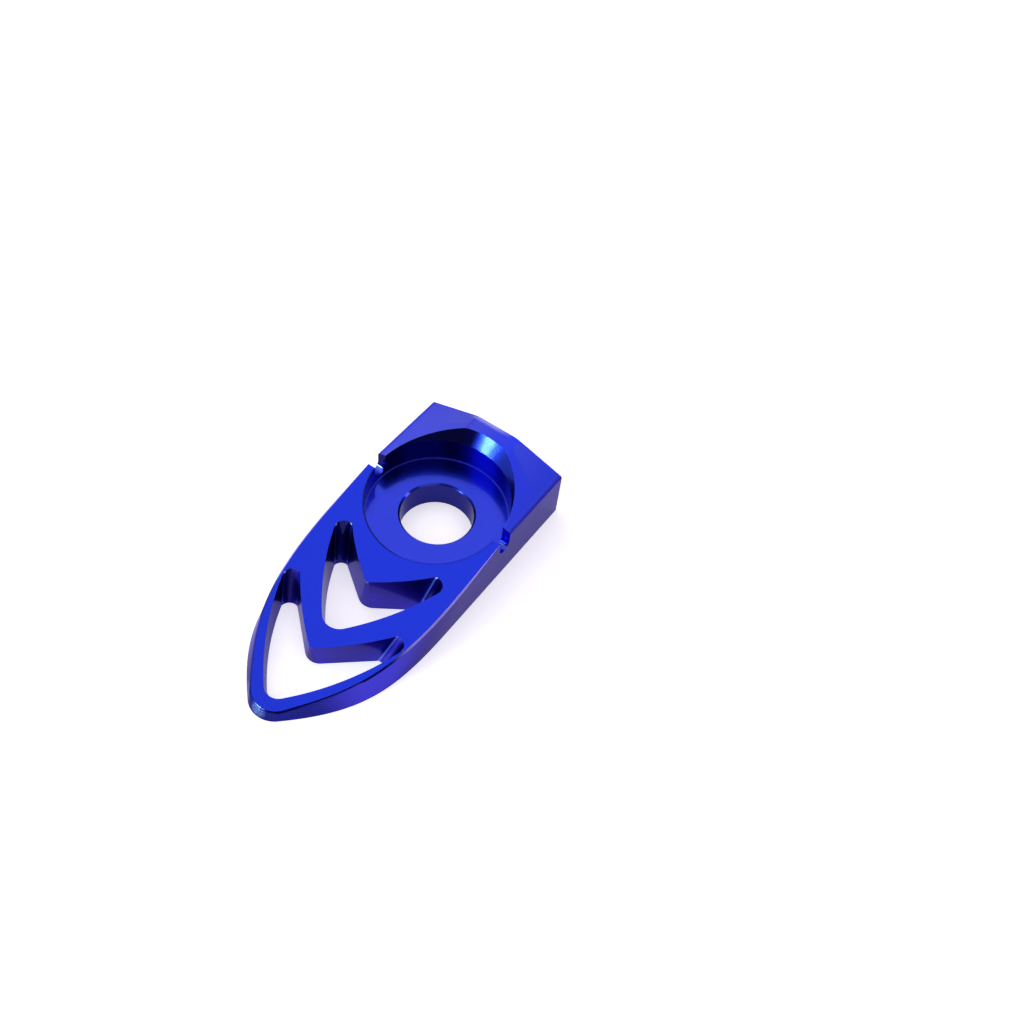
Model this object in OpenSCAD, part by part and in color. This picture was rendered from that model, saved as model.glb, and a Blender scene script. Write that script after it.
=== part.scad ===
// Chain adjuster block for a motorcycle rear axle: one machined piece.
// The back face lies at z = 0 with the axle bore along z at x = 0, y = 0.
// The nose points along +y, the raised wall behind the axle nut along -y.

/* [Axle] */
// Bore for the axle
bore_d = 20; // [16:0.5:22]
// Edge break at the mouth of the bore inside the recess
bore_break = 0.5; // [0.2:0.1:1]
// Round recess that takes the axle nut and its washer
recess_d = 39; // [34:0.5:40]
// Metal left under the recess
floor_t = 7.9; // [6:0.1:10]

/* [Rear block] */
// Width over the two side faces
body_w = 43.8; // [43:0.2:50]
// Axle centre to the rear face
rear_len = 26.8; // [25:0.2:32]
// Height of the rear block along its side faces
side_h = 14.6; // [14:0.1:16]
// Height of the flat ridge in the middle of the rear block
ridge_h = 19.3; // [18:0.1:21]
// Slope from the ridge down to each side face
roof_angle = 16.9; // [14:0.5:20]
// Rounding between the ridge and each slope
ridge_r = 8; // [2:1:12]
// Height at which the recess wall starts to flare outwards
flare_z = 15.4; // [15:0.1:17]
// Lean of the flared wall away from upright
flare_angle = 34; // [25:1:40]

/* [Side slots] */
// Width of the slot through each side wall
slot_w = 4.4; // [3:0.2:5]
// Height of the rounded slot bottom above the back face
slot_z = 9.3; // [8.5:0.1:11]

/* [Front plate] */
// Thickness of the front plate at the axle line
plate_h = 14.6; // [14.2:0.1:15]
// Fall of the front face towards the nose
plate_angle = 9.55; // [9:0.05:10.2]
// Axle centre to the nose, at the back face
nose_len = 71.7; // [71:0.1:74]
// Rounding of the nose, seen from the front
nose_r = 7; // [5:0.5:8]
// How far the rim stops short of the nose
nose_bevel = 0.9; // [0.6:0.1:1.6]
// Edge break all round the front face
rim_break = 0.45; // [0.2:0.05:0.6]

/* [Windows] */
// Axle centre to the inner apex of the window beside the recess
apex_a = 29.85; // [29.4:0.05:30.4]
// Axle centre to the rounded front end of that window
front_a = 44.7; // [44:0.1:45.4]
// Middle line to the centre of its arm ends
arm_x_a = 14.4; // [13.8:0.1:15]
// Axle centre forward to the centre of its arm ends
arm_y_a = 21.6; // [21.2:0.1:22.4]
// Rib between the two windows, on the front face
rib_w = 7.05; // [6.5:0.05:7.6]
// Metal between the nose window and the nose, at the front face
tip_w = 4.7; // [4.2:0.1:5.4]
// Middle line to the centre of the arm ends of the nose window
arm_x_b = 16.5; // [15.9:0.1:16.7]
// Axle centre forward to the centre of its arm ends
arm_y_b = 39.8; // [39.4:0.1:40.6]
// Rounding of the inner apex of both windows, on the front face
apex_r = 1; // [0.6:0.1:2]
// Rounding of the two corners of each arm end
arm_corner = 0.7; // [0.4:0.1:1]
// How far the middle of each arm end crowns past its half width
arm_crown = 0.25; // [0.15:0.05:0.4]
// How far the arm ends close in towards the middle at the back face
arm_in = 2.5; // [1.8:0.1:2.8]
// How far the arm ends move forward at the back face
arm_ahead = 4.4; // [3.5:0.1:5]

/* [Hidden] */
half_w = body_w / 2;
ridge_half = half_w - (ridge_h - side_h) / tan(roof_angle);
fall = tan(plate_angle);
apex_b = front_a + rib_w;
front_b = nose_len - tip_w;
steps = 10;
edge_steps = 28;
over = 1;
$fn = 128;

// Height of the front face at a distance y from the axle
function face_z(y) = plate_h - fall * y;

// Point at an angle on a circle
function on_circle(centre, radius, angle) =
    centre + radius * [cos(angle), sin(angle)];

// Points along a circle from one angle to another, the last one left off
function arc(centre, radius, from, to, count) =
    [for (i = [0 : count - 1])
        on_circle(centre, radius, from + (to - from) * i / count)];

// Point on a cubic curve
function curve(a, b, c, d, t) =
    pow(1 - t, 3) * a + 3 * pow(1 - t, 2) * t * b
    + 3 * (1 - t) * pow(t, 2) * c + pow(t, 3) * d;

// Right half closed by its mirror image, from the nose round to the rear
function both_sides(half) =
    concat(half, [for (i = [len(half) - 1 : -1 : 0])
        if (half[i][0] > 0.001) [-half[i][0], half[i][1]]]);

// Outline of the front plate: straight sides, then a curve to a rounded nose
function leaf(start, pull, nose, radius, angle, lean) =
    let (
        centre = [0, nose - radius],
        meet = on_circle(centre, radius, 90 - angle),
        reach = meet + lean * [cos(angle), -sin(angle)],
        side = [half_w, start]
    )
    both_sides(concat(
        arc(centre, radius, 90, 90 - angle, steps),
        [for (i = [0 : edge_steps])
            curve(meet, reach, side + [0, pull], side, i / edge_steps)],
        [[half_w, -over]]
    ));

// Outline drawn in by a depth, square to itself
function inset(outline, depth) =
    [for (i = [0 : len(outline) - 1])
        let (
            ahead = outline[(i + 1) % len(outline)],
            behind = outline[(i + len(outline) - 1) % len(outline)],
            along = (ahead - behind) / norm(ahead - behind)
        )
        outline[i] + depth * [along[1], -along[0]]];

// Outline of a window: rounded front, bowed sides, two arms that run back
// past an inner apex, each arm with a crowned end between two small corners;
// the edges between the arms and the apex swell into the window
function chevron(front, front_r, arm, arm_r, bow, apex, point_r, swell) =
    let (
        nose = [0, front - front_r],
        ridge = [0, apex - point_r],
        span = norm(arm - nose),
        along = (arm - nose) / span,
        far = bow - front_r,
        near = bow - arm_r,
        shift = (far * far - near * near + span * span) / (2 * span),
        rise = sqrt(far * far - shift * shift),
        hub = nose + shift * along + rise * [along[1], -along[0]],
        first = atan2(nose[1] - hub[1], nose[0] - hub[0]),
        second = atan2(arm[1] - hub[1], arm[0] - hub[0]),
        gap = arm - ridge,
        turn = atan2(gap[1], gap[0]) + acos((arm_r + point_r) / norm(gap)),
        end_r = arm_r + arm_crown,
        ease = acos((arm_r - arm_corner) / (end_r - arm_corner)),
        outer = on_circle(arm, end_r - arm_corner, second - ease),
        inner = on_circle(arm, end_r - arm_corner, turn - 180 + ease),
        foot = on_circle(inner, arm_corner, turn - 180),
        edge = on_circle(ridge, point_r, turn) - foot,
        side = [-edge[1], edge[0]] / norm(edge)
    )
    both_sides(concat(
        arc(nose, front_r, 90, first, steps),
        arc(hub, bow, first, second, edge_steps),
        arc(outer, arm_corner, second, second - ease, 4),
        arc(arm, end_r, second - ease, turn - 180 + ease, steps),
        arc(inner, arm_corner, turn - 180 + ease, turn - 180, 4),
        [for (i = [0 : steps - 1])
            let (t = i / steps)
            foot + t * edge - 4 * swell * t * (1 - t) * side],
        arc(ridge, point_r, turn, 90, steps),
        [[0, apex]]
    ));

// Solid through a stack of rings with the same number of points
module skin(rings) {
    count = len(rings[0]);
    top = (len(rings) - 1) * count;
    faces = concat(
        [[for (i = [count - 1 : -1 : 0]) i]],
        [[for (i = [0 : count - 1]) top + i]],
        [for (r = [0 : count : top - count], i = [0 : count - 1])
            [r + i, r + (i + 1) % count, r + count + i]],
        [for (r = [0 : count : top - count], i = [0 : count - 1])
            [r + (i + 1) % count, r + count + (i + 1) % count, r + count + i]]
    );
    polyhedron(
        points = [for (ring = rings) each ring],
        faces = faces,
        convexity = 4
    );
}

// Cutter between an outline at the back face and one on the sloping front
// face, carried on past both
module ruled(lower, upper) {
    ends = [for (i = [0 : len(lower) - 1])
        let (z = face_z(upper[i][1]), side = upper[i] - lower[i])
        [lower[i] - side * over / z, upper[i] + side * over / z]];
    skin([
        [for (end = ends) [end[0][0], end[0][1], -over]],
        [for (end = ends) [end[1][0], end[1][1], face_z(end[1][1]) + over]]
    ]);
}

module front_plate() {
    foot = leaf(24.8, 21.5, nose_len, nose_r, 43.8, 20.1);
    rim = leaf(17.1, 30.3, nose_len - nose_bevel, nose_r, 52, 14.9);
    skin([
        [for (p = foot) [p[0], p[1], 0]],
        [for (p = rim) [p[0], p[1], face_z(p[1]) - rim_break]],
        [for (p = inset(rim, rim_break)) [p[0], p[1], face_z(p[1])]]
    ]);
}

module rear_block() {
    hub = [ridge_half - ridge_r * tan(roof_angle / 2), ridge_h - ridge_r];
    eave = half_w - rim_break;
    rotate([90, 0, 0])
        linear_extrude(height = rear_len)
            polygon(both_sides(concat(
                arc(hub, ridge_r, 90, 90 - roof_angle, 5),
                [
                    on_circle(hub, ridge_r, 90 - roof_angle),
                    [eave, side_h + rim_break * tan(roof_angle)],
                    [half_w, side_h - rim_break],
                    [half_w, 0]
                ]
            )));
}

// Window beside the recess
module window_a() {
    arm = [arm_x_a, arm_y_a];
    low = arm + [-arm_in, arm_ahead];
    ruled(
        chevron(front_a - 0.8, 4.5, low, 2, 60, apex_a + 1.15, 4.2, 0),
        chevron(front_a, 4.8, arm, 2.55, 72, apex_a, apex_r, 0.5)
    );
}

// Window in the nose
module window_b() {
    arm = [arm_x_b, arm_y_b];
    low = arm + [-arm_in, arm_ahead];
    ruled(
        chevron(front_b - 0.9, 4.2, low, 2.3, 67, apex_b + 0.35, 4, 0),
        chevron(front_b, 4, arm, 2.4, 72, apex_b, apex_r, 0.65)
    );
}

module bore() {
    translate([0, 0, -over])
        cylinder(d = bore_d, h = floor_t + 2 * over);
    translate([0, 0, floor_t - bore_break])
        cylinder(
            d1 = bore_d,
            d2 = bore_d + 2 * (bore_break + over),
            h = bore_break + over
        );
}

module recess() {
    flare_h = ridge_h - flare_z + over;
    translate([0, 0, floor_t])
        cylinder(d = recess_d, h = ridge_h);
    translate([0, 0, flare_z])
        cylinder(
            d1 = recess_d,
            d2 = recess_d + 2 * flare_h * tan(flare_angle),
            h = flare_h
        );
}

module slots() {
    translate([-half_w - over, 0, slot_z + slot_w / 2])
        rotate([0, 90, 0])
            cylinder(d = slot_w, h = body_w + 2 * over);
    translate([-half_w - over, -slot_w / 2, slot_z + slot_w / 2])
        cube([body_w + 2 * over, slot_w, ridge_h]);
}

module adjuster_block() {
    color([0.1, 0.14, 0.75])
        difference() {
            union() {
                rear_block();
                front_plate();
            }
            recess();
            bore();
            slots();
            window_a();
            window_b();
        }
}

adjuster_block();
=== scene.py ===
"""A milled, anodised chain adjuster block on a pale floor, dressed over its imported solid."""

import logging
import math
from collections.abc import Sequence
from dataclasses import dataclass, field
from enum import Enum
from typing import Optional, Union

import bpy
from mathutils import Matrix, Vector


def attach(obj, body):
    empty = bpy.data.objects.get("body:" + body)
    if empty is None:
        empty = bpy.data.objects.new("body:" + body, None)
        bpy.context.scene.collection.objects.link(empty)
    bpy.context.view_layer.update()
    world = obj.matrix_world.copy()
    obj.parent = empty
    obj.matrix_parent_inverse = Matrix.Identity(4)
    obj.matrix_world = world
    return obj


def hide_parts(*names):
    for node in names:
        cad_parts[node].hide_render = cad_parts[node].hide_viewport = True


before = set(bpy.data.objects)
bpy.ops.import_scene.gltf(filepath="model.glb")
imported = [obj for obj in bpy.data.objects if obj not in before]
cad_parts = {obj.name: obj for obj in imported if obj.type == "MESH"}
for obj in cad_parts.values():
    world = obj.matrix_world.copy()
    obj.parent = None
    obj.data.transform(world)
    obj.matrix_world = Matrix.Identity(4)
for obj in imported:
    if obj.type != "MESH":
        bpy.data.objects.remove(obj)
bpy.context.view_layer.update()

log = logging.getLogger("adjuster")

MM = 0.001

Colour = tuple[float, float, float]
Point = tuple[float, float, float]
Ends = tuple[Point, Point]
Span = tuple[float, float]


def opaque(colour: Colour) -> tuple[float, float, float, float]:
    """Adds full opacity to a colour.

    Args:
        colour: Red, green and blue.

    Returns:
        The same with an alpha of 1.
    """
    return (*colour, 1.0)


class MathStep(Enum):
    """The operations of a Math node that the finishes use."""

    ADD = "ADD"
    SUBTRACT = "SUBTRACT"
    MULTIPLY = "MULTIPLY"
    SINE = "SINE"
    SQRT = "SQRT"
    ABSOLUTE = "ABSOLUTE"
    MAXIMUM = "MAXIMUM"


class Graph:
    """The node tree of one material or world, with one method that adds any node."""

    def __init__(self, owner: Union[bpy.types.Material, bpy.types.World]) -> None:
        """Empties the owner's node tree.

        Args:
            owner: The material or world.
        """
        owner.use_nodes = True
        self.owner = owner
        self.tree = owner.node_tree
        self.tree.nodes.clear()

    def add(
        self, kind: str, settings: Optional[dict] = None, inputs: Optional[dict] = None
    ) -> bpy.types.Node:
        """Adds a node, with its settings first and its sockets after.

        Args:
            kind: The node's type, such as ShaderNodeMath.
            settings: Attributes of the node.
            inputs: Values or links for its input sockets, by name or number.

        Returns:
            The node.
        """
        node = self.tree.nodes.new(kind)
        for key, value in (settings or {}).items():
            setattr(node, key, value)
        for key, value in (inputs or {}).items():
            socket = node.inputs[key]
            if isinstance(value, Value):
                self.tree.links.new(value.socket, socket)
            elif isinstance(value, bpy.types.NodeSocket):
                self.tree.links.new(value, socket)
            else:
                socket.default_value = value
        return node

    def value(self, socket: bpy.types.NodeSocket) -> "Value":
        """Wraps a socket so that Python's operators work on it.

        Args:
            socket: A number output of a node.

        Returns:
            The wrapped socket.
        """
        return Value(self, socket)


@dataclass(frozen=True)
class Value:
    """A number in a shader, on which Python's operators add Math nodes."""

    graph: Graph
    socket: bpy.types.NodeSocket

    def step(
        self, operation: MathStep, *others: Union["Value", float], swap: bool = False
    ) -> "Value":
        """Adds one Math node on this value.

        Args:
            operation: What the node does.
            others: The other operand, if it has one.
            swap: Whether this value is the second operand.

        Returns:
            The node's result.
        """
        operands = [self, *others]
        if swap:
            operands.reverse()
        node = self.graph.add(
            "ShaderNodeMath", {"operation": operation.value}, dict(enumerate(operands))
        )
        return Value(self.graph, node.outputs[0])

    def __add__(self, other: Union["Value", float]) -> "Value":
        """Sum of two values."""
        return self.step(MathStep.ADD, other)

    def __radd__(self, other: float) -> "Value":
        """Sum with a plain number on the left."""
        return self + other

    def __sub__(self, other: Union["Value", float]) -> "Value":
        """Difference of two values."""
        return self.step(MathStep.SUBTRACT, other)

    def __rsub__(self, other: float) -> "Value":
        """Difference with a plain number on the left."""
        return self.step(MathStep.SUBTRACT, other, swap=True)

    def __mul__(self, other: Union["Value", float]) -> "Value":
        """Product of two values."""
        return self.step(MathStep.MULTIPLY, other)

    def root(self) -> "Value":
        """Square root."""
        return self.step(MathStep.SQRT)

    def most(self, other: Union["Value", float]) -> "Value":
        """The greater of two values."""
        return self.step(MathStep.MAXIMUM, other)

    def wave(self, pitch: float) -> "Value":
        """A sine wave from -1 to 1.

        Args:
            pitch: The length of one wave.

        Returns:
            The wave along this value.
        """
        return (self * (2 * math.pi / pitch)).step(MathStep.SINE)

    def past(self, span: Span) -> "Value":
        """A smooth rise from 0 where a span starts to 1 where it ends.

        Args:
            span: Its start and end.

        Returns:
            The mask.
        """
        node = self.graph.add(
            "ShaderNodeMapRange",
            {"interpolation_type": "SMOOTHSTEP", "clamp": True},
            {"Value": self, "From Min": span[0], "From Max": span[1]},
        )
        return Value(self.graph, node.outputs["Result"])

    def before(self, span: Span) -> "Value":
        """A smooth fall from 1 where a span starts to 0 where it ends.

        Args:
            span: Its start and end.

        Returns:
            The mask.
        """
        return 1 - self.past(span)

    def between(self, rise: Span, fall: Span) -> "Value":
        """A mask that rises over one span and falls over a later one.

        Args:
            rise: Where it rises.
            fall: Where it falls.

        Returns:
            The mask.
        """
        return self.past(rise) * self.before(fall)


def square_sum(parts: Sequence[Value]) -> Value:
    """Adds up the squares of three values.

    Args:
        parts: The values.

    Returns:
        The sum of their squares.
    """
    return parts[0] * parts[0] + parts[1] * parts[1] + parts[2] * parts[2]


@dataclass(frozen=True)
class Place:
    """Where a shaded point is on the block, in millimetres, and which way its face looks."""

    x: Value
    y: Value
    z: Value
    out_x: Value
    out_y: Value
    up: Value
    radius: Value
    point: bpy.types.NodeSocket

    @classmethod
    def read(cls, graph: Graph) -> "Place":
        """Reads the shaded point and its face's direction.

        Args:
            graph: The material's node tree.

        Returns:
            The point and direction as values.
        """
        seat = graph.add("ShaderNodeTexCoord").outputs
        scaled = graph.add(
            "ShaderNodeVectorMath",
            {"operation": "SCALE"},
            {0: seat["Object"], "Scale": 1 / MM},
        ).outputs["Vector"]
        split = graph.add("ShaderNodeSeparateXYZ", None, {0: scaled}).outputs
        normal = graph.add("ShaderNodeSeparateXYZ", None, {0: seat["Normal"]}).outputs
        x, y, z = (graph.value(socket) for socket in split)
        out_x, out_y, up = (graph.value(socket) for socket in normal)
        return cls(x, y, z, out_x, out_y, up, (x * x + y * y).root(), scaled)

    def gaps(self, spot: Point, both_halves: bool = True) -> list[Value]:
        """Measures along each axis how far the point is from a spot.

        Args:
            spot: The spot, in millimetres.
            both_halves: Whether the spot's mirror image counts as well.

        Returns:
            The three distances.
        """
        across = self.x.step(MathStep.ABSOLUTE) if both_halves else self.x
        return [own - other for own, other in zip((across, self.y, self.z), spot)]


@dataclass(frozen=True)
class Faces:
    """Masks of the block's faces and edges, each 1 on them and 0 elsewhere."""

    level: Value
    upright: Value
    edge: Value
    outward: Value
    inside: Value
    behind: Value
    flared: Value
    front_face: Value
    well: Value
    hole: Value


@dataclass(frozen=True)
class Landmarks:
    """Where the block's faces and edges begin and end.

    A span is the stretch over which a mask rises or falls. Spans whose name ends in "up" are
    of the upward part of a face's direction, 0 on upright faces and 1 on level ones. All the
    others are in millimetres.
    """

    # Which way a face looks
    level_up: Span = (0.80, 0.93)
    leaning_up: Span = (0.75, 0.90)
    edge_up: Span = (0.50, 0.62)
    edge_end_up: Span = (0.93, 0.97)
    nose_up: Span = (0.04, 0.24)
    glint_up: Span = (0.05, 0.30)
    glint_end_up: Span = (0.95, 0.98)
    hub_y: float = 20.0
    outward: Span = (2.0, 6.0)

    # Distance from the axle
    hole_radius: Span = (10.2, 10.6)
    bore_edge_radius: Span = (10.8, 11.2)
    foot_radius: Span = (19.05, 19.18)
    edge_line_radius: Span = (19.40, 19.46)
    inside_radius: Span = (19.45, 19.6)
    edge_line_end_radius: Span = (19.75, 19.95)
    beyond_radius: Span = (20.0, 20.3)
    well_radius: Span = (24.0, 24.5)

    # Height over the back face
    floor_z: Span = (7.0, 7.6)
    floor_end_z: Span = (8.2, 8.5)
    foot_z: Span = (7.7, 7.8)
    foot_end_z: Span = (8.1, 8.25)
    well_z: Span = (7.6, 8.0)
    roof_z: Span = (14.7, 15.1)
    flare_z: Span = (15.3, 15.5)
    plate_z: float = 14.6
    plate_fall: float = math.tan(math.radians(9.55))
    front_face_depth: Span = (-0.75, -0.60)

    # Forward of the axle
    rear_edge_y: Span = (-26.7, -25.0)
    behind_y: Span = (-1.5, -0.5)
    lip_y: Span = (2.0, 3.0)
    well_end_y: Span = (16.0, 17.0)
    lip_end_y: Span = (36.0, 44.0)
    rim_y: Span = (38.0, 46.0)
    tip_y: Span = (52.0, 64.0)

    # Across
    rear_edge_x: Span = (-6.0, 1.0)
    rear_edge_end_x: Span = (6.0, 9.0)
    edge_line_x: Span = (-4.0, 2.0)
    edge_line_least: float = 0.35
    far_half_x: Span = (-9.0, 9.0)
    near_half_x: Span = (-1.0, 1.0)
    shade_x: Span = (1.0, 9.0)
    flare_shade_x: Span = (0.5, 4.0)
    lit_x: Span = (-8.0, -3.0)
    lit_end_x: Span = (-0.5, 3.5)

    # Upright edges at the arm ends of the windows, from the front face to the back face, where
    # painted highlight streaks and glints sit
    corners: tuple[Ends, ...] = (
        ((17.18, 21.51, 10.98), (14.13, 25.88, 0.0)),
        ((13.69, 18.91, 11.42), (11.62, 23.79, 0.0)),
        ((19.12, 39.56, 7.94), (16.53, 44.09, 0.0)),
        ((15.69, 37.30, 8.33), (13.33, 41.76, 0.0)),
    )
    corner_reach: float = 0.40
    corner_core: float = 0.4

    # Inner apex of each window on the front face, where a painted glint sits, and the middle of
    # the painted speckled highlight on the nose
    apexes: tuple[Point, ...] = ((0.0, 29.95, 9.55), (0.0, 51.85, 5.87))
    glint_reach: float = 0.70
    glint_core: float = 0.5
    sparkle_at: Point = (0.4, 71.0, 1.8)
    sparkle_reach: Span = (0.6, 2.8)

    def faces(self, at: Place) -> Faces:
        """Finds the faces and edges.

        Args:
            at: The shaded point.

        Returns:
            Their masks.
        """
        above = at.z - (self.plate_z - at.y * self.plate_fall)
        away = at.out_x * at.x + at.out_y * (at.y - self.hub_y)
        well = at.radius.before(self.well_radius) * at.z.past(self.well_z)
        return Faces(
            level=at.up.past(self.level_up),
            upright=at.up.before(self.leaning_up),
            edge=at.up.between(self.edge_up, self.edge_end_up),
            outward=away.past(self.outward),
            inside=at.radius.before(self.inside_radius),
            behind=at.y.before(self.behind_y),
            flared=at.z.past(self.flare_z),
            front_face=above.past(self.front_face_depth),
            well=well * at.y.before(self.well_end_y),
            hole=at.radius.before(self.hole_radius),
        )

    def near_point(self, at: Place, spot: Point) -> Value:
        """Finds what lies close to a point, on either side of the block.

        Args:
            at: The shaded point.
            spot: The point, with its distance from the middle first.

        Returns:
            1 at the point, falling to 0 at the reach of a glint.
        """
        far = square_sum(at.gaps(spot)).root()
        return far.before((self.glint_core * self.glint_reach, self.glint_reach))

    def near_line(self, at: Place, ends: Ends) -> Value:
        """Finds what lies close to a line, on either side of the block.

        Args:
            at: The shaded point.
            ends: The line's two ends, each like the point above.

        Returns:
            1 on the line, falling to 0 at the reach of a corner.
        """
        way = (Vector(ends[1]) - Vector(ends[0])).normalized()
        gaps = at.gaps(ends[0])
        along = gaps[0] * way.x + gaps[1] * way.y + gaps[2] * way.z
        far = (square_sum(gaps) - along * along).most(0.0).root()
        return far.before((self.corner_core * self.corner_reach, self.corner_reach))

    def cut(self, at: Place) -> Value:
        """Finds the upright edges at the arm ends of the windows.

        Args:
            at: The shaded point.

        Returns:
            Their mask.
        """
        mask = self.near_line(at, self.corners[0])
        for ends in self.corners[1:]:
            mask = mask.most(self.near_line(at, ends))
        return mask

    def shine(self, at: Place, outward: Value) -> Value:
        """Finds the small glints at the corners of the windows.

        Args:
            at: The shaded point.
            outward: The mask of the faces round the outside, which keep their own look.

        Returns:
            The mask of the glints.
        """
        mask = self.near_point(at, self.corners[0][0])
        for ends in self.corners[1:]:
            mask = mask.most(self.near_point(at, ends[0]))
        mask = mask * (1 - outward)
        for spot in self.apexes:
            mask = mask.most(self.near_point(at, spot))
        return mask * at.up.between(self.glint_up, self.glint_end_up)


@dataclass(frozen=True)
class Region:
    """A part of the surface with a tint, a roughness and a clear layer of its own."""

    tint: Colour
    roughness: float
    coat: float


@dataclass(frozen=True)
class Palette:
    """The look of each part of the surface. Past the plate, most tints are painted light and
    shade: lighter and darker copies of one blue by the way each face looks, with painted
    highlight and shade lines on edges and corners.
    """

    # Painted shade: upright walls are a much darker blue than the faces that look up.
    wall_shade: Region = Region((0.005, 0.005, 0.20), 0.28, 0.15)
    plate: Region = Region((0.005, 0.025, 0.60), 0.30, 0.12)
    floor: Region = Region((0.012, 0.030, 0.58), 0.24, 0.2)
    # Painted light: the roof is a paler, greyer copy of the plate blue, and its -x slope a
    # stronger, brighter blue.
    roof: Region = Region((0.040, 0.052, 0.64), 0.30, 0.2)
    roof_far_lit: Region = Region((0.006, 0.026, 0.74), 0.30, 0.2)
    # Painted highlight: a pale sheen along the rear edge of the roof's ridge.
    roof_edge_highlight: Region = Region((0.30, 0.30, 0.84), 0.40, 0.3)
    # Painted shade: the outer sides are darker and greyer than the top.
    flank_shade: Region = Region((0.022, 0.012, 0.22), 0.34, 0.2)
    # Painted light: the outer walls that lean back, round the nose, are lighter than the upright
    # sides.
    nose: Region = Region((0.032, 0.024, 0.48), 0.32, 0.16)
    # Painted shade: the outer walls near the tip are darker.
    tip: Region = Region((0.002, 0.004, 0.17), 0.28, 0.12)
    # Painted light: the recess walls are a brighter blue than the other walls, and the flare at
    # their top brighter still and greener, where the lamp falls.
    recess: Region = Region((0.007, 0.013, 0.58), 0.22, 0.15)
    flare: Region = Region((0.030, 0.066, 0.82), 0.24, 0.08)
    shade_side: Region = Region((0.001, 0.002, 0.09), 0.24, 0.08)
    # Painted shade: the bore's wall is dark.
    bore_shade: Region = Region((0.003, 0.006, 0.17), 0.26, 0.15)
    edge: Region = Region((0.010, 0.030, 0.50), 0.22, 0.7)
    # Painted shade: a dark line on the outer top edge break, from the second window to the nose.
    rim: Region = Region((0.001, 0.003, 0.16), 0.30, 0.1)
    # Painted shade: the bore's edge break is darker and less glossy than the other edges.
    bore_edge_shade: Region = Region((0.010, 0.022, 0.36), 0.24, 0.2)
    # Painted highlight: a pale lavender line on the outer top edge, from the slots to the second
    # window.
    lip_highlight: Region = Region((0.42, 0.34, 0.95), 0.45, 0.4)
    # Painted shade: a thin dark line round the front rim of the recess.
    recess_edge_shade: Region = Region((0.001, 0.003, 0.10), 0.34, 0.1)
    # Painted highlight: a thin light line where the recess wall meets its floor.
    wall_foot_highlight: Region = Region((0.07, 0.10, 0.66), 0.60, 0.2)
    # Painted highlights: light streaks down the upright corners at the window arm ends, brighter
    # on the -x half.
    corner: Region = Region((0.030, 0.032, 0.40), 0.50, 0.3)
    bright_corner_highlight: Region = Region((0.12, 0.17, 0.90), 0.60, 0.5)
    glint: Region = Region((0.62, 0.80, 1.0), 0.65, 1.0)
    # Painted highlight: a speckled glint round the nose tip.
    painted_sparkle: Region = Region((0.22, 0.42, 0.95), 0.34, 0.4)


@dataclass(frozen=True)
class Milling:
    """The marks that milling leaves, and the painted speckle of the glints, with their sizes in
    millimetres and their strengths.
    """

    # Rows that the cutter leaves across the front face
    rows_pitch: float = 0.65
    rows_way: tuple[float, float] = (0.82, 0.57)
    rows_wander: float = 2.0
    rows_patches: Span = (0.35, 0.65)
    rows_y: Span = (34.0, 44.0)
    rows_least: float = 0.3

    # Levels round the nose, and rings on the recess floor
    levels_pitch: float = 0.75
    levels_fall: float = 0.25
    rings_pitch: float = 0.42

    # Broad clouds and fine specks, with their middle value
    cloud_scale: float = 0.16
    cloud_detail: float = 3.0
    speck_scale: float = 3.2
    speck_detail: float = 2.0
    noise_roughness: float = 0.55
    middle: float = 0.5
    grain: Span = (0.46, 0.56)

    # Painted speckled highlight on the nose and painted speckle on the lit part of the flare:
    # share of the specks, then of the rest
    sparkle_share: tuple[float, float] = (0.45, 0.15)
    lit_share: tuple[float, float] = (0.55, -0.35)

    # Strength in the relief
    relief_rows: float = 0.5
    relief_levels: float = 0.5
    relief_rings: float = 0.25
    relief_specks: float = 0.5
    relief_lit_specks: float = 2.0
    bump_strength: float = 0.5
    bump_height: float = 0.0096 * MM

    # Strength in the colour and in the roughness
    shade_rows: float = 0.15
    shade_levels: float = 0.35
    shade_specks: float = 0.4
    shade_clouds: float = 0.12
    rough_clouds: float = 0.08
    rough_specks: float = 0.05


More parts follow.
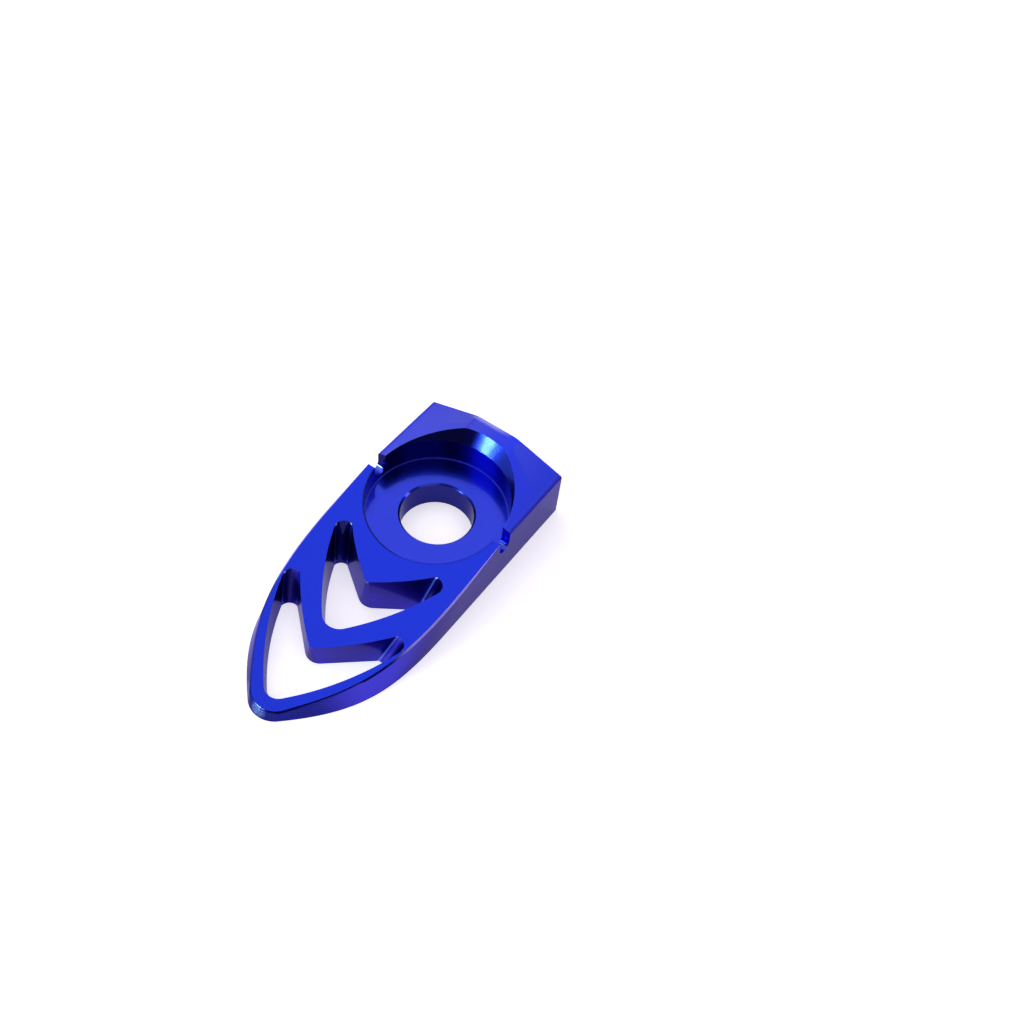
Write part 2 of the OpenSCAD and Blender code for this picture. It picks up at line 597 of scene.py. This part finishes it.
@dataclass(frozen=True)
class AnodisedFinish:
    """Blue anodised aluminium with the marks that milling leaves under it, and with light and
    shade painted into its colour region by region.
    """

    name: str = "anodised_aluminium"
    marks: Landmarks = Landmarks()
    looks: Palette = Palette()
    milling: Milling = Milling()
    coat_roughness: float = 0.08
    coat_ior: float = 1.8
    graze: Colour = (0.55, 0.52, 0.75)

    def masks(self, at: Place) -> list[tuple[Value, Region]]:
        """Finds where each region of the block is.

        Args:
            at: The shaded point.

        Returns:
            Each region with the value that is 1 on it, painted in this order over the walls.
        """
        marks, looks = self.marks, self.looks
        faces = marks.faces(at)
        roof = faces.level * at.z.past(marks.roof_z) * faces.behind
        # Where the painted highlight along the rear edge of the roof's ridge lies.
        rear_edge = at.y.before(marks.rear_edge_y) * at.x.between(
            marks.rear_edge_x, marks.rear_edge_end_x
        )
        floor = faces.inside * at.z.between(marks.floor_z, marks.floor_end_z)
        around = faces.upright * faces.outward
        recess = faces.upright * faces.well * (1 - faces.outward)
        recess_behind = recess * faces.behind
        # The upright corners at the window arm ends, where painted highlight streaks run.
        corner = faces.upright * marks.cut(at) * (1 - faces.hole)
        beyond = faces.outward * at.radius.past(marks.beyond_radius)
        rim = faces.edge * beyond * faces.front_face
        ahead = at.y.past(marks.lip_y)
        # Where the painted dark line round the front rim of the recess lies, weaker towards -x.
        edge_line = at.radius.between(marks.edge_line_radius, marks.edge_line_end_radius)
        edge_line_fade = (
            at.x.past(marks.edge_line_x) * (1 - marks.edge_line_least) + marks.edge_line_least
        )
        # Where the painted light line at the foot of the recess wall lies.
        foot = at.radius.past(marks.foot_radius) * faces.inside
        # Past the plate, most of these paint light and shade into the colour: lighter and darker
        # copies of the blue by face, and painted lines, streaks and glints on edges and corners.
        return [
            (faces.level, looks.plate),
            (roof, looks.roof),
            (roof * at.x.before(marks.far_half_x), looks.roof_far_lit),
            (roof * rear_edge, looks.roof_edge_highlight),
            (faces.level * floor, looks.floor),
            (around, looks.flank_shade),
            (around * at.up.past(marks.nose_up), looks.nose),
            (around * at.y.past(marks.tip_y), looks.tip),
            (recess, looks.recess),
            (recess_behind * faces.flared, looks.flare),
            (recess_behind * at.x.past(marks.shade_x), looks.shade_side),
            (
                recess_behind * faces.flared * at.x.past(marks.flare_shade_x),
                looks.shade_side,
            ),
            (faces.upright * faces.hole, looks.bore_shade),
            (corner, looks.corner),
            (corner * at.x.before(marks.near_half_x), looks.bright_corner_highlight),
            (faces.edge * (1 - beyond) * (1 - faces.well * faces.flared), looks.edge),
            (faces.edge * at.radius.before(marks.bore_edge_radius), looks.bore_edge_shade),
            (rim * at.y.past(marks.rim_y), looks.rim),
            (marks.shine(at, faces.outward), looks.glint),
            (rim * at.y.before(marks.lip_end_y) * ahead, looks.lip_highlight),
            (edge_line * faces.front_face * ahead * edge_line_fade, looks.recess_edge_shade),
            (foot * at.z.between(marks.foot_z, marks.foot_end_z), looks.wall_foot_highlight),
        ]

    @staticmethod
    def mask_of(masks: list[tuple[Value, Region]], wanted: Region) -> Value:
        """Picks one region's mask.

        Args:
            masks: Each region's mask with the region.
            wanted: The region.

        Returns:
            Its first mask.
        """
        return next(mask for mask, region in masks if region is wanted)

    def noise(self, graph: Graph, at: Place, scale: float, detail: float) -> Value:
        """Adds plain noise.

        Args:
            graph: The material's node tree.
            at: The shaded point.
            scale: Its scale, per millimetre.
            detail: How many finer layers it has.

        Returns:
            The noise, from 0 to 1.
        """
        node = graph.add(
            "ShaderNodeTexNoise",
            None,
            {
                "Vector": at.point,
                "Scale": scale,
                "Detail": detail,
                "Roughness": self.milling.noise_roughness,
            },
        )
        return graph.value(node.outputs["Fac"])

    def paint(
        self, graph: Graph, masks: list[tuple[Value, Region]]
    ) -> tuple[bpy.types.NodeSocket, Value, Value]:
        """Paints the regions over the walls, one after the other.

        Args:
            graph: The material's node tree.
            masks: Each region's mask with the region.

        Returns:
            The colour, the roughness and the weight of the clear layer.
        """
        wall_shade = self.looks.wall_shade
        colour = opaque(wall_shade.tint)
        rough = wall_shade.roughness
        coat = wall_shade.coat
        for mask, region in masks:
            colour = graph.add(
                "ShaderNodeMix",
                {"data_type": "RGBA"},
                {"Factor": mask, "A": colour, "B": opaque(region.tint)},
            ).outputs["Result"]
            rough = rough + mask * (region.roughness - rough)
            coat = coat + mask * (region.coat - coat)
        return colour, rough, coat

    def build(self) -> bpy.types.Material:
        """Makes the material.

        Returns:
            The material.
        """
        graph = Graph(bpy.data.materials.new(self.name))
        at = Place.read(graph)
        marks, looks, milling = self.marks, self.looks, self.milling
        masks = self.masks(at)
        plate, roof, floor, tip, flare = (
            self.mask_of(masks, region)
            for region in (looks.plate, looks.roof, looks.floor, looks.tip, looks.flare)
        )
        cloud = self.noise(graph, at, milling.cloud_scale, milling.cloud_detail)
        speck = self.noise(graph, at, milling.speck_scale, milling.speck_detail)
        grain = speck.past(milling.grain)

        # A painted speckled highlight round the nose tip, and the lit part of the flare, where
        # the glint's colour is speckled.
        far = square_sum(at.gaps(marks.sparkle_at, both_halves=False)).root()
        painted_sparkle = grain * milling.sparkle_share[0] + milling.sparkle_share[1]
        masks.append((far.before(marks.sparkle_reach) * painted_sparkle * (1 - plate), looks.painted_sparkle))
        lit = flare * at.x.between(marks.lit_x, marks.lit_end_x)
        colour, rough, coat = self.paint(graph, masks)

        rows = at.x * milling.rows_way[0] + at.y * milling.rows_way[1]
        rows = (
            rows * (2 * math.pi / milling.rows_pitch) + cloud * milling.rows_wander
        ).step(MathStep.SINE)
        rows_fade = at.y.past(milling.rows_y) * (1 - milling.rows_least) + milling.rows_least
        rows = rows * plate * (1 - roof) * (1 - floor) * cloud.past(milling.rows_patches)
        rows = rows * rows_fade
        levels = (at.z - at.y * milling.levels_fall).wave(milling.levels_pitch) * tip
        rings = at.radius.wave(milling.rings_pitch) * floor

        relief = (
            rows * milling.relief_rows
            + levels * milling.relief_levels
            + rings * milling.relief_rings
            + speck * (lit * milling.relief_lit_specks + milling.relief_specks)
        )
        shade = (
            rows * milling.shade_rows
            + levels * milling.shade_levels
            + (speck - milling.middle) * milling.shade_specks
            + (cloud - milling.middle) * milling.shade_clouds
            + 1
        )
        # Painted speckle in the glint on the lit part of the flare.
        shade = shade * (1 + lit * (grain * milling.lit_share[0] + milling.lit_share[1]))
        rough = (
            rough
            + (cloud - milling.middle) * milling.rough_clouds
            + (speck - milling.middle) * milling.rough_specks
        )
        colour = graph.add(
            "ShaderNodeVectorMath", {"operation": "SCALE"}, {0: colour, "Scale": shade}
        ).outputs["Vector"]
        bump = graph.add(
            "ShaderNodeBump",
            None,
            {
                "Strength": milling.bump_strength,
                "Distance": milling.bump_height,
                "Height": relief,
            },
        ).outputs["Normal"]
        shader = graph.add(
            "ShaderNodeBsdfPrincipled",
            None,
            {
                "Base Color": colour,
                "Metallic": 1.0,
                "Roughness": rough,
                "Normal": bump,
                "Specular Tint": opaque(self.graze),
                "Coat Weight": coat,
                "Coat Roughness": self.coat_roughness,
                "Coat IOR": self.coat_ior,
            },
        )
        graph.add("ShaderNodeOutputMaterial", None, {"Surface": shader.outputs[0]})
        return graph.owner


@dataclass
class AdjusterBlock:
    """The one milled piece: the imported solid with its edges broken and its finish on."""

    node: str = "adjuster_block"
    slot: str = "anodised_aluminium"
    weld: float = 0.002 * MM
    flat: float = math.radians(0.3)
    edge_break: float = 0.24 * MM
    edge_rows: int = 3
    sharp: float = math.radians(25)
    crease: float = math.radians(60)
    flat_weight: int = 100
    finish: AnodisedFinish = field(default_factory=AnodisedFinish)

    def copy_of_solid(self) -> bpy.types.Object:
        """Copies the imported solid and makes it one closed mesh.

        Returns:
            The copy, with its loose triangles joined and its flat faces whole.
        """
        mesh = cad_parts[self.node].data.copy()
        piece = bpy.data.objects.new("adjuster_block_finished", mesh)
        bpy.context.scene.collection.objects.link(piece)
        bpy.ops.object.select_all(action="DESELECT")
        bpy.context.view_layer.objects.active = piece
        piece.select_set(True)
        bpy.ops.object.mode_set(mode="EDIT")
        bpy.ops.mesh.select_all(action="SELECT")
        bpy.ops.mesh.remove_doubles(threshold=self.weld)
        bpy.ops.mesh.dissolve_limited(angle_limit=self.flat)
        bpy.ops.object.mode_set(mode="OBJECT")
        return piece

    def break_edges(self, piece: bpy.types.Object) -> None:
        """Rounds the milled edges a little.

        Args:
            piece: The block's mesh object.
        """
        bevel = piece.modifiers.new("edge_break", "BEVEL")
        bevel.width = self.edge_break
        bevel.segments = self.edge_rows
        bevel.limit_method = "ANGLE"
        bevel.angle_limit = self.sharp
        bevel.use_clamp_overlap = True
        bevel.harden_normals = False
        bpy.ops.object.modifier_apply(modifier=bevel.name)

    def settle_normals(self, piece: bpy.types.Object) -> None:
        """Keeps flat faces flat in the light, with the turn only on the broken edges.

        Args:
            piece: The block's mesh object.
        """
        bpy.ops.object.shade_smooth_by_angle(angle=self.crease)
        weighted = piece.modifiers.new("settled", "WEIGHTED_NORMAL")
        weighted.mode = "FACE_AREA"
        weighted.weight = self.flat_weight
        weighted.keep_sharp = True
        bpy.ops.object.modifier_apply(modifier=weighted.name)

    def build(self) -> bpy.types.Object:
        """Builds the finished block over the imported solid.

        Returns:
            The finished block.
        """
        piece = self.copy_of_solid()
        self.break_edges(piece)
        self.settle_normals(piece)
        piece.data.materials.clear()
        piece.data.materials.append(self.finish.build())
        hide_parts(self.node)
        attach(piece, "root")
        log.info("%s: %d faces", piece.name, len(piece.data.polygons))
        return piece


@dataclass(frozen=True)
class PaleFinish:
    """Plain white paper, which the camera and the metal see a little lighter than it is lit."""

    name: str = "pale_floor"
    paper: Colour = (0.93, 0.88, 1.0)
    glow: Colour = (0.98, 0.96, 1.0)
    lift: float = 0.50

    def build(self) -> bpy.types.Material:
        """Makes the material.

        Returns:
            The material.
        """
        graph = Graph(bpy.data.materials.new(self.name))
        path = graph.add("ShaderNodeLightPath").outputs
        camera, glossy, through = (
            graph.value(path[ray])
            for ray in ("Is Camera Ray", "Is Glossy Ray", "Is Transmission Ray")
        )
        seen = camera.most(glossy.most(through))
        paper = graph.add(
            "ShaderNodeBsdfDiffuse", None, {"Color": opaque(self.paper)}
        ).outputs[0]
        glow = graph.add(
            "ShaderNodeEmission",
            None,
            {"Color": opaque(self.glow), "Strength": seen * self.lift},
        ).outputs[0]
        both = graph.add("ShaderNodeAddShader", None, {0: paper, 1: glow}).outputs[0]
        graph.add("ShaderNodeOutputMaterial", None, {"Surface": both})
        return graph.owner


@dataclass(frozen=True)
class Softbox:
    """One rectangular area lamp that looks at a point of the block, in metres."""

    name: str
    direction: Point
    distance: float
    size: tuple[float, float]
    radiance: float
    colour: Colour = (1.0, 1.0, 1.0)
    target: Point = (0.0, 0.02, 0.0)

    def build(self) -> bpy.types.Object:
        """Makes the lamp.

        Returns:
            The lamp's object.
        """
        light = bpy.data.lights.new(self.name, "AREA")
        light.shape = "RECTANGLE"
        light.size, light.size_y = self.size
        light.color = self.colour
        light.energy = self.radiance * math.pi * self.size[0] * self.size[1]
        lamp = bpy.data.objects.new(self.name, light)
        away = Vector(self.direction).normalized()
        lamp.location = Vector(self.target) + away * self.distance
        lamp.rotation_euler = away.to_track_quat("Z", "Y").to_euler()
        bpy.context.scene.collection.objects.link(lamp)
        return lamp


@dataclass(frozen=True)
class Viewpoint:
    """The camera, where the photograph was taken from, in metres."""

    lens: float = 42.5
    sensor_width: float = 36.0
    clip: Span = (0.01, 50.0)
    eye: Point = (-0.11134, 0.16567, 0.26493)
    right: Point = (-0.81865, -0.56729, 0.08943)
    down: Point = (-0.49425, 0.61666, -0.61274)
    forward: Point = (0.29245, -0.54582, -0.78521)

    def build(self) -> bpy.types.Object:
        """Makes the camera.

        Returns:
            The camera.
        """
        data = bpy.data.cameras.new("camera")
        data.lens = self.lens
        data.sensor_width = self.sensor_width
        data.clip_start, data.clip_end = self.clip
        camera = bpy.data.objects.new("camera", data)
        axes = (Vector(self.right), -Vector(self.down), -Vector(self.forward))
        camera.rotation_mode = "QUATERNION"
        camera.rotation_quaternion = Matrix(axes).transposed().to_quaternion()
        camera.location = self.eye
        bpy.context.scene.collection.objects.link(camera)
        bpy.context.scene.camera = camera
        return camera


@dataclass
class Studio:
    """The pale floor, the lamps and the camera."""

    floor_size: float = 4.0
    floor_drop: float = 0.05 * MM
    sky: float = 0.28
    lamps: tuple[Softbox, ...] = (
        Softbox("softbox_top", (0.18, -0.35, 0.90), 0.80, (0.90, 0.85), 1.00),
        Softbox("softbox_left", (0.80, -0.40, 0.45), 0.90, (0.50, 0.50), 1.05),
        Softbox("lamp_right", (-0.80, -0.50, 0.34), 1.20, (0.24, 0.24), 5.0),
        Softbox("softbox_fill", (-0.60, 0.30, 0.74), 0.90, (0.70, 0.70), 0.80),
        Softbox("softbox_front", (0.48, 0.50, 0.70), 0.80, (0.46, 0.46), 1.40),
        Softbox(
            "lamp_front", (0.42, 0.86, 0.31), 1.30, (0.28, 0.30), 30.0, (0.60, 0.93, 1.0)
        ),
    )
    viewpoint: Viewpoint = Viewpoint()

    def floor(self) -> bpy.types.Object:
        """Makes the floor that the block lies on.

        Returns:
            The floor.
        """
        bpy.ops.object.select_all(action="DESELECT")
        bpy.ops.mesh.primitive_plane_add(
            size=self.floor_size, location=(0.0, 0.0, -self.floor_drop)
        )
        floor = bpy.context.active_object
        floor.name = "floor"
        floor.data.materials.append(PaleFinish().build())
        return floor

    def surroundings(self) -> None:
        """Gives the world full strength for the camera and a soft grey light for the rest."""
        world = bpy.data.worlds.new("studio")
        bpy.context.scene.world = world
        graph = Graph(world)
        path = graph.add("ShaderNodeLightPath").outputs
        strength = graph.value(path["Is Camera Ray"]) * (1 - self.sky) + self.sky
        background = graph.add("ShaderNodeBackground", None, {"Strength": strength})
        graph.add("ShaderNodeOutputWorld", None, {"Surface": background.outputs[0]})

    def build(self) -> None:
        """Builds the whole studio."""
        self.floor()
        self.surroundings()
        for lamp in self.lamps:
            lamp.build()
        self.viewpoint.build()
        bpy.context.scene.view_settings.view_transform = "Standard"
        log.info("studio: floor, %d lamps, camera", len(self.lamps))


def main() -> None:
    """Builds the block and the studio."""
    logging.basicConfig(level=logging.INFO, format="%(name)s: %(message)s")
    AdjusterBlock().build()
    Studio().build()


if __name__ == "__main__":
    main()
